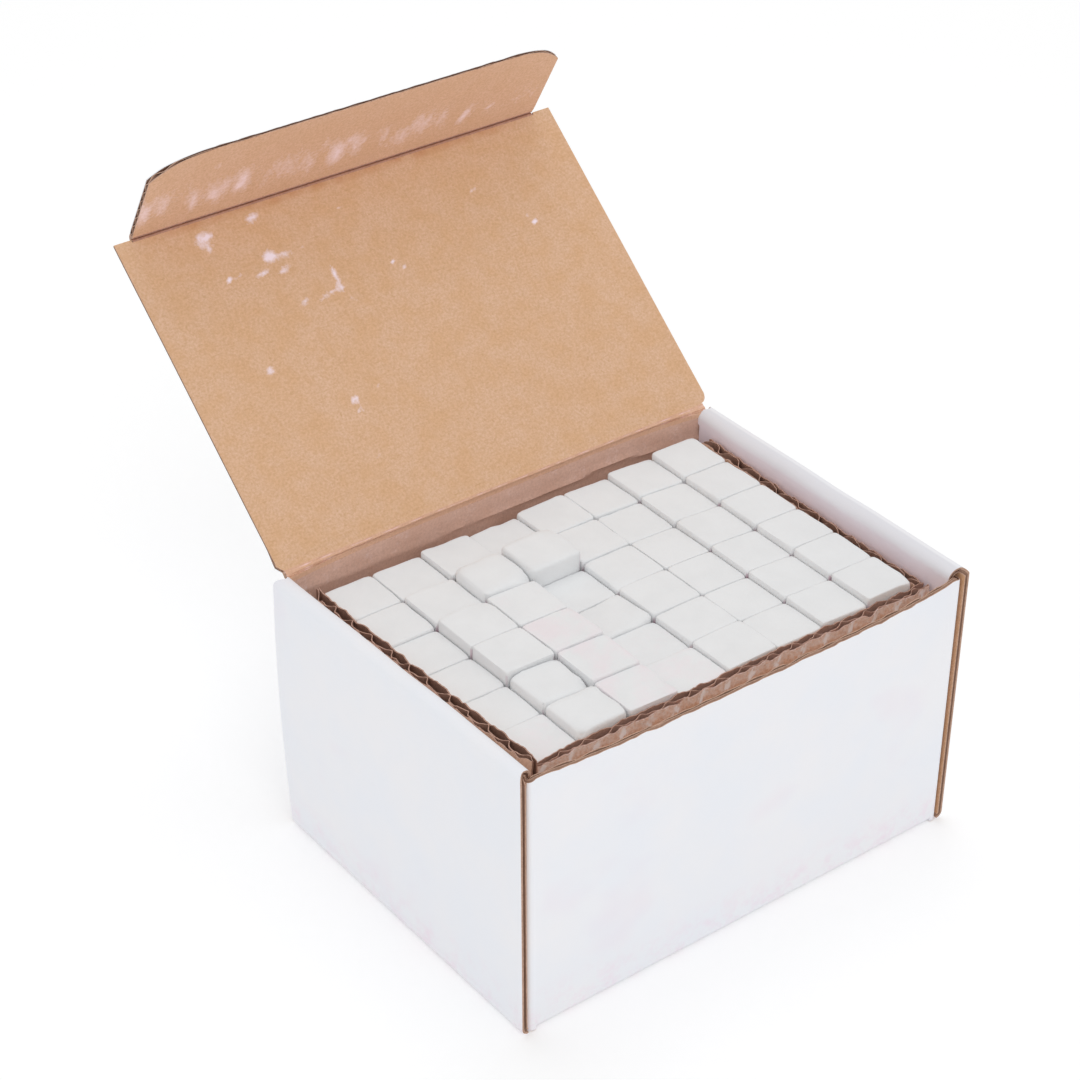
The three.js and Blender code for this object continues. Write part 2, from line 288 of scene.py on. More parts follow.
def end_panel(name, side, top, bow, materials, dust=None, ridge=None, cut=True):
    """A panel with an ear folded back at each end. side is -1 at the front and 1 at the back."""
    ear_outer = HALF_WIDTH - BOARD - GAP
    flat = ear_outer - CORNER
    corner_y = HALF_DEPTH - CORNER
    corner = CORNER * math.pi / 2
    ear = EAR_LENGTH - CORNER
    bend_rows = 6

    def plan(s, offset):
        """Place in X and Y, offset millimetres in from the outer face, s along the board from the middle."""
        distance = np.abs(s)
        turn = np.clip((distance - flat) / corner, 0, 1) * math.pi / 2
        radius = CORNER - offset
        x = np.minimum(distance, flat) + radius * np.sin(turn)
        y = corner_y + radius * np.cos(turn) - np.maximum(distance - flat - corner, 0)
        return np.sign(s) * x, y

    def faces(s, v):
        """v runs from -1 at the bottom crease's start, 0 at its end, to 1 at the top edge."""
        distance = np.abs(s)
        on_wall = distance < flat - 0.5
        ear_top = EAR_TOP if side < 0 else EAR_TOP - 1.2
        local_top = mix(top, ear_top, step(distance, flat - 1.5, flat + corner))
        result = []
        for offset in (0, BOARD):
            x, y = plan(s, offset)
            turn = (1 + np.minimum(v, 0)) * math.pi / 2
            radius = CREASE - offset
            bend_y = HALF_DEPTH - CREASE + radius * np.sin(turn)
            bend_z = CREASE - radius * np.cos(turn)
            ear_foot = mix(0.1, CREASE + GAP, step(distance, flat + corner, flat + corner + 1))
            ear_z = ear_foot + 0.06 * np.minimum(v, 0)
            rise = mix(np.where(on_wall, CREASE, ear_foot), local_top, np.maximum(v, 0))
            z = np.where(v < 0, np.where(on_wall, bend_z, ear_z), rise)
            y = np.where((v < 0) & on_wall, bend_y, y)
            y = y + bowed_out(x, bow) * np.clip(z / top, 0, 1) ** 1.5
            x = x * (1 + 0.7 * FLARE / HALF_WIDTH * np.clip(z / WALL_TOP, 0, 1))
            x = x - left_bulge(side * y, z) * step(-x, 45, 66)
            if ridge is not None and offset == BOARD:
                y = y - ridge(x, z)
            result.append(stacked(x, side * y, z))
        return result

    def ragged(s, v, seed):
        near_top = step(v, 0.965, 1) * (1 if cut else 0)
        drop = 0.28 * wobble_line(s, 40 + seed + side, 9, 3) - 0.12 + 0.5 * np.minimum(
            0, wobble_line(s, 50 + seed + side, 22, 3) + 0.35)
        lean_in = 0.16 * wobble_line(s, 60 + seed + side, 12, 2)
        return stacked(0 * s, near_top * lean_in, near_top * drop)

    def wave(s, v):
        return np.sin(2 * math.pi * (np.maximum(v, 0) * top / FLUTE_PITCH + 0.3))

    def outside(s, v):
        """The outer liner is given the raw edge's brown where it bends round the corner."""
        middle = 0.5 * (s[1:, 1:] + s[:-1, :-1])
        return np.where(np.abs(middle) > flat + np.where(middle < 0, 1.9, 1.1), EDGE, OUTSIDE)

    bends = np.linspace(-1, 0, bend_rows + 1)
    rise = np.concatenate([np.linspace(0, 0.9, 19)[1:], np.linspace(0.9, 1, 9)[1:]])
    turns = np.linspace(flat, flat + corner, 10)
    half = np.concatenate([[flat - 0.49, flat - 0.2], turns, flat + corner + spaced(4, ear, 8)])
    inner_half = spaced(0, flat - 0.55, 1.5)
    us = mirrored(np.concatenate([inner_half[1:], half]))
    fine_us = mirrored(np.concatenate([spaced(0, flat - 0.55, 5)[1:], half]))
    fine_vs = np.concatenate([bends, np.linspace(0, 1, int(top / FLUTE_PITCH * 8))[1:]])
    return board(name, materials, faces, us, np.concatenate([bends, rise]), wave, (fine_us, fine_vs),
                 ragged, dust, outside)


# ---- rolled side walls ----
def rolled_wall(name, side, outer_fold, inner_fold, pinch, rubbed, materials):
    """side is -1 on the left and 1 on the right. The board climbs outside, rolls over and comes down inside.

    outer_fold and inner_fold are the radii of the two folds, pinch how far the fold is squeezed and
    rubbed how pink with chalk dust the inner face is, and so how much it is painted lighter as light.
    """
    def bend(outer_centre, outer_radius, inner_centre, inner_radius, start, end, steps):
        angles = np.radians(np.linspace(start, end, steps))
        circle = np.stack([np.cos(angles), np.sin(angles)], -1)
        return (outer_centre + outer_radius * circle, inner_centre + inner_radius * circle)

    under = WALL_TOP - BOARD

    def fold(x, toward, radius, start, end):
        """A fold whose outer face is at x before or after it, toward 1 or -1 being the way to its centre."""
        hollow = max(radius - BOARD, 0.12)
        inside = (x + toward * (BOARD + hollow), under - hollow)
        return bend((x + toward * radius, WALL_TOP - radius), radius, inside, hollow, start, end, 9)

    hollow_of_foot = (HALF_WIDTH - CREASE, CREASE)
    bends = [
        bend(hollow_of_foot, CREASE, hollow_of_foot, CREASE - BOARD, -90, 0, 7),
        fold(HALF_WIDTH, -1, outer_fold, 0, 90),
        fold(ROLL_INNER + pinch, 1, inner_fold, 90, 180),
    ]

    def stretches(face, end_x):
        """The outer (0) or inner (1) face's path in X and Z: foot, climb, fold, top, fold, way down."""
        foot, first, second = (pair[face] for pair in bends)
        climb = mix(foot[-1], first[0], np.linspace(0, 1, 15)[1:-1, None])
        top = mix(first[-1], second[0], np.linspace(0, 1, 5)[1:-1, None])
        falls = np.concatenate([np.linspace(0, 0.12, 7)[1:], np.linspace(0.12, 1, 12)[1:]])
        down = np.stack([end_x + pinch * (1 - step(falls, 0, 0.07)), second[-1][1] * (1 - falls)], -1)
        return [foot, climb, first, top, second, down]

    parts = [stretches(0, ROLL_INNER), stretches(1, ROLL_INNER + BOARD)]
    path = [np.concatenate(part) for part in parts]
    starts = np.cumsum([len(stretch) for stretch in parts[0]])
    fold_start, fold_end, descent_start, last = starts[1], starts[2], starts[4], starts[5] - 1

    def ends_along_y(row, z):
        front = -HALF_DEPTH + ROLL_SETBACK * step(row, fold_start, fold_end)
        drop = np.clip(z - (WALL_TOP - CORNER), 0, CORNER)
        corner = CORNER - np.sqrt(np.maximum(CORNER**2 - drop**2, 0))
        return front, np.where(row >= descent_start, HALF_DEPTH - ROLL_SETBACK, HALF_DEPTH - corner)

    def faces(row, y_share):
        whole = np.clip(np.floor(row), 0, last - 1).astype(int)
        part = (row - whole)[..., None]
        result = []
        front, back = ends_along_y(row, mix(path[0][whole], path[0][whole + 1], part)[..., 1])
        y = mix(front, back, y_share)
        for k in (0, 1):
            place = mix(path[k][whole], path[k][whole + 1], part)
            x, z = place[..., 0], place[..., 1]
            on_tab = np.abs(np.abs(y) - TAB_OFFSET) < TAB_LENGTH / 2
            end_z = np.where(on_tab, GAP, FLOOR_TOP)
            falling = np.clip((row - descent_start) / (last - descent_start), 0, 1)
            z = np.where(row >= descent_start, np.maximum(z, 0) + end_z * falling, z)
            sag = 0.12 * (1 + wobble_line(y, 71 + side, 38)) * step(z, under - 0.5, WALL_TOP - 0.2)
            z = z - sag
            on_inside = step(row, fold_end, descent_start + 1)
            x = x + 0.12 * wobble_line(y, 73 + side, 45) * on_inside
            x = x + FLARE * np.clip(z / WALL_TOP, 0, 1)
            if side < 0:
                x = x + left_bulge(y, z)
            result.append(stacked(side * x, y, z))
        return result

    def wave(row, y_share):
        return np.cos(2 * math.pi * (y_share * 2 * HALF_DEPTH / FLUTE_PITCH) - 0.6)

    def pink(row, y_share):
        """How the face that is seen inside the box is marked, from a little under the fold down: greyer at
        first, then lower down pink chalk dust, painted lighter than the paper as light where the pads' shade
        falls.
        """
        down = (row - fold_end) / (last - fold_end)
        return rubbed * (0.25 * step(down, 0, 0.1) + 0.75 * step(down, 0.28, 0.46))

    shares = (both_ways(TAB_OFFSET, TAB_LENGTH / 2) + HALF_DEPTH) / (2 * HALF_DEPTH)
    close = 0.0004
    cuts = np.concatenate([shares - close, shares + close])
    us = np.arange(last + 1).astype(float)
    vs = merged(np.linspace(0, 1, 41), cuts)
    fine_vs = merged(np.linspace(0, 1, int(2 * HALF_DEPTH / FLUTE_PITCH * 8)), cuts)
    return board(name, materials, faces, us, vs, wave, (us, fine_vs), outer_dust_and_light=pink)


# ---- bottom panel ----
def bottom_panel(materials):
    notch = TAB_LENGTH / 2 + GAP
    end_x = HALF_WIDTH - CREASE - 0.03
    end_y = HALF_DEPTH - CREASE - 0.03
    notch_x = ROLL_INNER - GAP

    def faces(u, v):
        in_notch = np.abs(np.abs(v) - TAB_OFFSET) < notch
        x = u * np.where(in_notch, notch_x, end_x)
        return stacked(x, v, 0 * x), stacked(x, v, 0 * x + BOARD)

    def wave(u, v):
        return np.cos(2 * math.pi * v / FLUTE_PITCH)

    edges = both_ways(TAB_OFFSET, notch)
    cuts = np.concatenate([edges - 0.02, edges + 0.02])
    vs = merged(spaced(-end_y, end_y, 6), cuts)
    fine_vs = merged(spaced(-end_y, end_y, FLUTE_PITCH / 8), cuts)
    us = np.linspace(-1, 1, 9)
    return board("mailer_bottom", materials, faces, us, vs, wave, (us, fine_vs))


# ---- lid ----
def lid_place(x, along, height):
    """A point of the lid: along from the hinge, height above the inner side of the hinge plane."""
    cos, sin = math.cos(LID_SLOPE), math.sin(LID_SLOPE)
    return stacked(x, HINGE_Y + along * cos - height * sin, HINGE_Z + along * sin + height * cos)


def flap_place(x, along, height):
    """A point of the tuck flap, along from its fold and height above its inner face."""
    cos, sin = math.cos(FLAP_FOLD), math.sin(FLAP_FOLD)
    return lid_place(x, LID_LENGTH + along * cos - height * sin, along * sin + height * cos - FOLD_DEPTH)


def smear(x, y, marks):
    """Chalk dust from a list of marks: centre, length, width, turn in degrees, strength."""
    total = np.zeros(np.shape(x))
    for centre_x, centre_y, length, width, turn, strength in marks:
        cos, sin = math.cos(math.radians(turn)), math.sin(math.radians(turn))
        along = (x - centre_x) * cos + (y - centre_y) * sin
        across = (y - centre_y) * cos - (x - centre_x) * sin
        total += strength * bell(along, length) * bell(across, width)
    return np.clip(total, 0, 1)


LID_MARKS = [
    (-45.6, 88.2, 2.6, 1.8, 60, 0.75), (-43.2, 88.4, 1, 0.9, 20, 0.9), (-44.6, 85, 1.4, 1.2, 100, 0.6),
    (-29.9, 89.6, 2.4, 1.3, 20, 0.8), (-30.6, 78.2, 1.9, 1.6, 10, 1), (-26.4, 77.4, 2.8, 1, 0, 0.6),
    (-28.2, 73.6, 2.4, 0.9, 15, 0.7), (-34.4, 74.4, 2.4, 0.9, 5, 0.7),
    (-43.6, 75.6, 1.2, 0.7, 30, 1), (-40.5, 76, 1, 0.5, 10, 1),
    (-15.9, 68.4, 3.2, 0.8, 100, 0.75), (-16.3, 64.4, 1.6, 0.8, 95, 0.7), (-20.4, 63.4, 4, 0.8, 8, 0.6),
    (-27.2, 63.6, 2.2, 0.9, 25, 0.6), (-14.2, 60.2, 2, 0.7, 120, 0.45),
    (1.2, 66.2, 0.6, 0.5, 0, 0.8), (3.2, 64.4, 1.3, 0.5, -20, 0.95),
    (46.2, 64, 1.2, 0.7, 10, 0.95), (44.6, 66, 0.8, 0.9, 0, 0.45), (33.4, 78, 0.8, 0.4, 5, 0.9),
    (-45, 49.4, 1.4, 0.9, 0, 0.9), (-34.8, 51.3, 0.4, 0.9, 0, 0.8), (-29, 50.4, 2.2, 0.6, 15, 0.4),
    (-27.4, 34.6, 1.5, 1, 30, 0.8), (-26.2, 32.4, 0.5, 1.8, 0, 0.7), (-27.8, 31, 1, 0.6, 0, 0.6),
    (-28.3, 18.9, 1.6, 0.6, 30, 0.5), (-45.6, 62.6, 0.9, 0.5, -40, 0.6), (-20.4, 78, 0.6, 0.6, 0, 0.5),
    (-5.6, 84.8, 0.9, 0.5, 20, 0.5), (-19.2, 36.2, 0.4, 0.8, 0, 0.6),
]
FLAP_MARKS = [
    (-54.5, 9, 4.5, 2.6, 95, 0.5), (-48, 11, 5.5, 3, 95, 0.6), (-42.5, 12, 6, 2.8, 92, 0.6),
    (-40.6, 9.4, 2.2, 1.4, 70, 0.95), (-42.4, 21.5, 1.6, 1.2, 90, 0.7), (-33.8, 9.2, 3, 1.2, 79, 1),
    (-35, 13, 4, 2, 92, 0.5), (-25, 10.5, 5, 2.4, 88, 0.6), (-17, 15, 5.5, 1.6, 97, 0.6),
    (-12, 11, 6, 2.4, 95, 0.6), (-9, 16.5, 4.5, 1.4, 96, 0.6), (-4, 10.5, 5, 2.2, 92, 0.65),
    (-0.5, 14.5, 3, 2.2, 95, 0.8), (3.5, 12.5, 2.4, 1.6, 70, 0.8), (8, 14.5, 2.5, 1.2, 60, 0.5),
    (11, 9.5, 4, 2.2, 90, 0.45), (19, 11, 4.5, 2.2, 88, 0.45), (27, 11, 4, 2.2, 85, 0.5),
    (36.5, 10, 2.8, 1.6, 75, 0.95), (35, 7, 2.2, 1.6, 80, 0.7), (44.5, 9.8, 2.4, 0.9, 25, 0.85),
    (49.5, 9.6, 2, 0.7, 85, 0.6), (54.5, 8.6, 2.2, 0.7, 85, 0.75), (52.5, 9.6, 2.4, 0.5, 15, 0.6),
]


def crease_lines(x, along):
    """The two fine lines pressed into the lid beside its hinge."""
    drift = 0.12 * wobble_line(x, 86, 30)
    return sum(bell(along - at - drift, 0.35) for at in (1.9, 2.9))


def lid_panel(materials):
    chamfer, chamfer_run = 1.2, 1.5
    rounding = 2.6

    def side_limits(along):
        rise = np.clip((along - LID_START) / chamfer_run, 0, 1)
        left = HALF_WIDTH - 0.3 + 0.5 * along / LID_LENGTH - chamfer * (1 - rise)
        turn = np.clip(1 - (along - LID_START) / rounding, 0, 1)
        right = HALF_WIDTH + 0.4 - 1.3 * along / LID_LENGTH - rounding * (1 - np.sqrt(1 - turn**2))
        return left, right

    def faces(u, v):
        in_slot = (u > slot[0]) & (u < slot[1])
        along = mix(LID_START, np.where(in_slot, LID_END, LID_LENGTH), v)
        left, right = side_limits(along)
        x = np.where(u < 0, u * left, u * right)
        warp = 0.3 * np.sin(math.pi * v) * (u**2 - 1) + 0.1 * wobble_plane(u * 3, v * 2, 81, 2.0)
        height = -FOLD_DEPTH + warp * step(v, 0, 0.2) * (1 - step(v, 0.8, 1))
        dent = 0.14 * crease_lines(x, along)
        crushed = 0.55 * step(np.abs(u), 0.97, 1) * step(along, 3, 8)
        return lid_place(x, along, height - BOARD * (1 - crushed)), lid_place(x, along, height - dent)

    def wave(u, v):
        return np.cos(2 * math.pi * v * LID_LENGTH / FLUTE_PITCH)

    def dust(u, v):
        """Chalk marks, and below zero the stain along the flap's fold."""
        x, along = u * HALF_WIDTH, v * LID_LENGTH
        depth = 1.6 + 0.9 * wobble_line(x, 84, 22, 3)
        stain = step(along, LID_LENGTH - depth - 0.8, LID_LENGTH - 0.4) * step(60 - np.abs(x), 0, 12)
        rubbed = 0.14 * crease_lines(x, mix(LID_START, LID_LENGTH, v))
        return smear(x, along, LID_MARKS) + rubbed - stain * (0.7 + 0.3 * wobble_line(x, 85, 9, 2))

    ends = side_limits(np.array(LID_LENGTH))
    slot = [(FLAP_SHIFT - FLAP_HALF_WIDTH - 0.15) / ends[0], (FLAP_SHIFT + FLAP_HALF_WIDTH + 0.15) / ends[1]]
    shoulders = np.array([end + shift for end in slot for shift in (-0.001, 0.001)])
    rims = np.array([sign * share for sign in (-1, 1) for share in (0.97, 0.98, 0.99)])
    us = merged(np.linspace(-1, 1, 113), shoulders, rims)
    vs = merged(np.linspace(0, 1, 81), np.linspace(0, 0.06, 19))
    fine_us = merged(np.linspace(-1, 1, 13), shoulders, rims)
    fine_vs = merged(np.linspace(0, 1, int(LID_LENGTH / FLUTE_PITCH * 8)), np.linspace(0, 0.06, 9))
    return board("mailer_lid", materials, faces, us, vs, wave, (fine_us, fine_vs), dust=dust,
                 outer_edge=OUTSIDE)


def flap_limits(along):
    """Half width of the tuck flap at a height above its fold."""
    rise = FLAP_HEIGHT - FLAP_STRAIGHT
    radius = (FLAP_CORNER**2 + rise**2) / (2 * rise)
    above = np.clip(along - (FLAP_HEIGHT - radius), 0, radius)
    curved = FLAP_HALF_WIDTH - FLAP_CORNER + np.sqrt(np.maximum(radius**2 - above**2, 0))
    relief = 0.25 * (1 - step(along, 0, 2))
    return np.where(along > FLAP_STRAIGHT, curved, FLAP_HALF_WIDTH) - relief


def tuck_flap(materials):
    def faces(u, v):
        x = FLAP_SHIFT + u * flap_limits(v)
        crushed = 0.45 * step(v, FLAP_HEIGHT - 4, FLAP_HEIGHT)
        return flap_place(x, v, -BOARD * (1 - crushed)), flap_place(x, v, 0 * v)

    def ragged(u, v, seed):
        near_top = step(v, FLAP_HEIGHT - 1.2, FLAP_HEIGHT)
        shift = 0.16 * wobble_line(u * FLAP_HALF_WIDTH, 90 + seed, 11, 3) - 0.08
        up = flap_place(0, 1, 0) - flap_place(0, 0, 0)
        return (near_top * shift)[..., None] * up

    def wave(u, v):
        return np.sin(2 * math.pi * v / FLUTE_PITCH + 0.5)

    def dust(u, v):
        x = u * FLAP_HALF_WIDTH
        streaks = 0.5 + 0.5 * wobble_plane(x + 0.12 * v, 0.3 * v, 95, 8, 3)
        cloud = 0.72 * bell(v - 11, 7) * streaks
        fading = mix(1, 0.5, step(x, 10, 50))
        return np.maximum(0.78 * smear(x, v, FLAP_MARKS) * (0.65 + 0.35 * streaks), cloud * fading)

    rise = FLAP_HEIGHT - FLAP_STRAIGHT
    curve = FLAP_STRAIGHT + rise * np.sin(np.linspace(0, math.pi / 2, 13))
    vs = merged(spaced(FLAP_START, FLAP_STRAIGHT, 0.8), curve)
    fine_vs = merged(spaced(FLAP_START, FLAP_STRAIGHT, FLUTE_PITCH / 10),
                     spaced(FLAP_STRAIGHT, FLAP_HEIGHT, FLUTE_PITCH / 10), curve)
    fine = (np.linspace(-1, 1, 61), fine_vs)
    return board("mailer_tuck_flap", materials, faces, np.linspace(-1, 1, 105), vs, wave, fine,
                 ragged, dust, outer_edge=OUTSIDE)


# ---- creases at the lid's hinge and the flap's fold ----
def crease_strip(name, outer_path, inner_path, xs, place, materials, relief, rubbed):
    """A strip of creased board along X between two short paths of (along, height) points.

    relief(x, share) is how far the inner face sinks, and rubbed(x, share) how much chalk is on it.
    """
    outer_path, inner_path = np.array(outer_path), np.array(inner_path)
    piece = Piece(name)

    def along_path(path, share):
        steps = np.linspace(0, 1, len(path))
        return np.interp(share, steps, path[:, 0]), np.interp(share, steps, path[:, 1])

    u, v = np.meshgrid(xs, np.linspace(0, 1, 5 * (len(outer_path) - 1) + 1), indexing="ij")
    outer = place(u, *along_path(outer_path, v), v)
    inner = place(u, *along_path(inner_path, v), v)
    toward = inner - outer
    toward = toward / np.linalg.norm(toward, axis=-1, keepdims=True)
    inner = inner - toward * relief(u, v)[..., None]
    piece.sheet(inner, outer, (INSIDE, OUTSIDE, EDGE), dust=rubbed(u, v))
    return piece.make(materials, 60)


def hinge_crease(materials):
    """outer and inner are points in Y and Z, from the back panel's top edge to the lid."""
    top = BACK_TOP
    outer = [(HALF_DEPTH, top), (HALF_DEPTH + 0.02, top + 0.5), (HALF_DEPTH + 0.3, top + 0.9),
             lid_place(0, LID_START, -FOLD_DEPTH - BOARD)[1:]]
    inner = [(HALF_DEPTH - BOARD, top), (HALF_DEPTH - BOARD + 0.05, top + 1.4),
             (HALF_DEPTH - BOARD + 0.45, top + 2.1), lid_place(0, LID_START, -FOLD_DEPTH)[1:]]

    def place(x, y, z, share):
        bow = bowed_out(x, BACK_BOW) * (1 - step(share, 0.2, 1))
        return stacked(x * (1 + FLARE / HALF_WIDTH), y + bow, z)

    def lines(x, share):
        drift = 0.03 * wobble_line(x, 17, 26)
        return sum(bell(share - at + drift, 0.05) for at in (0.4, 0.62, 0.86))

    def relief(x, share):
        ends = np.sin(math.pi * share) ** 0.5
        pressed = 0.26 * lines(x, share) * (1 + 0.4 * wobble_line(x, 16, 8))
        return ends * (pressed + 0.08 * wobble_line(x, 18, 5))

    def rubbed(x, share):
        patches = np.clip(0.6 + 0.8 * wobble_line(x, 19, 9, 3), 0, 1)
        return 0.85 * lines(x, share) * patches + 0.25 * (1 - step(share, 0, 0.25))

    half = HALF_WIDTH - 2.4
    return crease_strip("hinge_crease", outer, inner, spaced(-half, half, 0.8), place, materials,
                        relief, rubbed)


def flap_crease(materials):
    def under_fold(reach, angle):
        return (LID_LENGTH + reach * math.sin(angle), -FOLD_DEPTH - reach * math.cos(angle))

    turns = np.linspace(0, FLAP_FOLD, 6)
    outer = [(LID_END, -FOLD_DEPTH - BOARD)]
    outer += [under_fold(BOARD, angle) for angle in turns]
    cos, sin = math.cos(FLAP_FOLD), math.sin(FLAP_FOLD)
    outer.append((LID_LENGTH + FLAP_START * cos + BOARD * sin, -FOLD_DEPTH + FLAP_START * sin - BOARD * cos))
    groove, half_width = 0.55, 0.26
    inner = [(LID_END, -FOLD_DEPTH)]
    deep = under_fold(groove, FLAP_FOLD / 2)
    inner += [(mix(LID_LENGTH - half_width, deep[0], t), mix(-FOLD_DEPTH, deep[1], t)) for t in (0, 0.5, 1)]
    rim = (LID_LENGTH + half_width * cos, -FOLD_DEPTH + half_width * sin)
    inner += [(mix(deep[0], rim[0], t), mix(deep[1], rim[1], t)) for t in (0.34, 0.67, 1)]
    inner.append((LID_LENGTH + FLAP_START * cos, -FOLD_DEPTH + FLAP_START * sin))

    def place(x, along, height, share):
        return lid_place(x, along, height)

    def level(x, share):
        return 0 * x

    def stained(x, share):
        return -0.9 * bell(share - 0.3, 0.25) * (0.7 + 0.3 * wobble_line(x, 87, 12, 2))

    half = FLAP_HALF_WIDTH - 0.2
    return crease_strip("flap_crease", outer, inner, FLAP_SHIFT + spaced(-half, half, 2.5), place, materials,
                        level, stained)


# ---- pads ----
PAD_PITCH = 7.8
PAD_LINER = 0.38
PAD_SHEET = 0.34


def pad(name, node, along_axis, top_at, seed, core_look, crush, curl=lambda u: 0, smears_and_light=0.0, lip=0.0):
    """An upright pad of C-flute board. Its run is along X or Y; u is in millimetres along it.

    crush(u) flattens it towards its top, curl(u) bends it inwards, smears_and_light is how much chalk is
    rubbed on the crests of its outer face and how much a band along its top is painted lighter as light,
    and lip is how far that face is rolled in at the top.
    """
    low, high = box_mm(node)
    other = 1 - along_axis
    thick = high[other] - low[other]
    start, end = low[along_axis], high[along_axis]
    outward = -1 if abs(low[other]) > abs(high[other]) else 1
    outer_at, inner_at = (low[other], high[other]) if outward < 0 else (high[other], low[other])

    def wave_at(u):
        drift = 0.7 * wobble_line(u, seed, 26, 2)
        return np.sin(2 * math.pi * (u - start + drift) / PAD_PITCH + seed)

    def faces(u, v):
        z = mix(FLOOR_TOP, top_at((u - start) / (end - start)), v)
        near_top = step(v, 0.8, 1)
        squeeze = crush(u) * near_top
        wash = (0.1 + 0.1 * step(v, 0.8, 1)) * wave_at(u) * (1 - squeeze)
        bulge = 0.12 * wobble_plane(u, z, seed + 5, 20, 2) * near_top
        rolled = lip * step(v, 0.92, 1) * (1 - crush(u)) * (1 + 0.35 * wobble_line(u, seed + 6, 11, 2))
        both = []
        for at, inwards, press in ((outer_at, 1, rolled), (inner_at, -1, 0)):
            inset = -outward * (inwards * (0.16 + squeeze * (thick / 2 - 0.75)) + press)
            across = at + inset + wash + bulge + curl(u) * near_top
            coordinates = [None, None, z]
            coordinates[along_axis], coordinates[other] = u, across
            both.append(stacked(*coordinates))
        return both

    def ragged(u, v, layer):
        near_top = step(v, 0.93, 1)
        drop = 0.3 * wobble_line(u, seed + 10 + layer, 5, 3) - 0.25
        drop = drop + 0.5 * np.minimum(0, wobble_line(u, seed + 20 + layer, 13, 2) + 0.2)
        return stacked(0 * u, 0 * u, near_top * drop)

    def wave(u, v):
        """The fluted sheet lies along the outer liner and bridges to the inner one in narrow crests."""
        height = (0.5 - 0.5 * wave_at(u)) ** 3
        return (1 - 2 * height) * (1 - 0.1 * (1 + wobble_line(u, seed + 30, 9)))

    def outer_dust_and_light(u, v):
        below = (1 - v) * (top_at(0) - FLOOR_TOP)
        crest = (0.5 + 0.5 * np.sin(2 * math.pi * (u - start + 0.6 * below) / PAD_PITCH + seed + 1.2)) ** 9
        patch = 0.45 + 0.9 * wobble_plane(u, 2 * below, seed + 40, 2.2, 3)
        blotch = crest * np.clip(patch, 0, 1) * bell(below - 1.7, 1.1)
        # The blotches are chalk smeared on the crests; the even band along the top is painted light, a paler
        # tint where the face sits in the shade of the gap.
        return smears_and_light * (1.7 * blotch + 0.44 * (1 - step(below, 1, 5)))

    us = spaced(start, end, PAD_PITCH / 14)
    vs = np.concatenate([np.linspace(0, 0.8, 5), np.linspace(0.8, 1, 17)[1:]])
    made = board(name, [pad_liner, pad_liner, pad_raw, core_look], faces, us, vs, wave, (us, vs), ragged,
                 outer_dust_and_light=outer_dust_and_light, liner=PAD_LINER, fluted=PAD_SHEET, thick=thick)
    place_piece(made, name, node)


# ---- chalk ----
def block_template(cells):
    """Points of a cube of half size 1 split into cells, and its quads."""
    grid = bmesh.new()
    bmesh.ops.create_cube(grid, size=2)
    bmesh.ops.subdivide_edges(grid, edges=grid.edges[:], cuts=cells - 1, use_grid_fill=True)
    bmesh.ops.recalc_face_normals(grid, faces=grid.faces[:])
    points = np.array([v.co[:] for v in grid.verts])
    quads = np.array([[v.index for v in f.verts] for f in grid.faces])
    grid.free()
    return points, quads


def rounded_block(template, low, high, edge, seed, marks=(), lean=(0, 0), wear=0.08):
    """A pressed block with soft, slightly worn edges. marks are (corner x, corner y, reach, depth)."""
    half = (high - low) / 2 + np.array([0.1, 0.12, 0])
    middle = (high + low) / 2
    knots = np.array([0, 0.4, 0.72, 0.9, 0.965, 1])
    shares = np.linspace(0, 1, len(knots))
    inner = np.minimum(np.interp(np.abs(template), shares, knots), 1)
    local = np.sign(template) * inner * half
    draw = wobble(local + middle, seed, 7, 3)
    corner = step(np.abs(local[:, 0]) / half[0], 0.8, 0.97) * step(np.abs(local[:, 1]) / half[1], 0.8, 0.97)
    radius = np.clip(edge * (1 + 0.6 * draw) + 0.45 * corner, 0.2, 2.5)[:, None]
    core = np.clip(local, radius - half, half - radius)
    away = local - core
    away = away / np.linalg.norm(away, axis=1, keepdims=True)
    placed = core + radius * away
    worn = wear * (0.5 + 0.5 * wobble(placed + middle, seed + 1, 3.2, 2))
    placed = placed - away * worn[:, None]
    up = step(placed[:, 2], -half[2], half[2])
    placed[:, 2] += up * (lean[0] * placed[:, 0] / half[0] + lean[1] * placed[:, 1] / half[1])
    for corner_x, corner_y, reach, depth in marks:
        spot = np.array([corner_x * half[0], corner_y * half[1]])
        distance = np.linalg.norm(placed[:, :2] - spot, axis=1)
        chip = np.clip(1 - distance / reach, 0, 1) ** 0.7 * (placed[:, 2] > 0)
        placed[:, 2] -= depth * chip * step(placed[:, 2], half[2] - 4, half[2])
    return placed + middle


BLOCK_LEANS = {(2, 4): (0.1, 0.25), (4, 4): (0.6, -0.65), (3, 2): (0.25, 0.1), (6, 2): (0.3, -0.2),
               (4, 3): (0.15, -0.3), (2, 3): (0.2, 0.2), (6, 1): (-0.1, 0.1), (1, 8): (0.1, 0.2)}
BLOCK_CHIPS = {(4, 4): [(0.35, -1, 3.6, 1.2)], (2, 3): [(1, -1, 5, 1.3), (1, 1, 3, 0.8)],
               (2, 4): [(1, 1, 4, 1.0)], (5, 2): [(1, -1, 4.5, 1.2)], (6, 2): [(-1, -1, 3.5, 1.0)],
               (1, 4): [(0.4, 1, 3, 0.5)], (3, 2): [(1, 1, 3, 0.9)], (6, 8): [(1, -1, 3, 0.8)],
               (1, 3): [(-0.2, 1, 2.5, 0.5)], (3, 5): [(-1, -1, 2.5, 0.7)], (6, 3): [(1, -0.4, 2, 0.5)]}
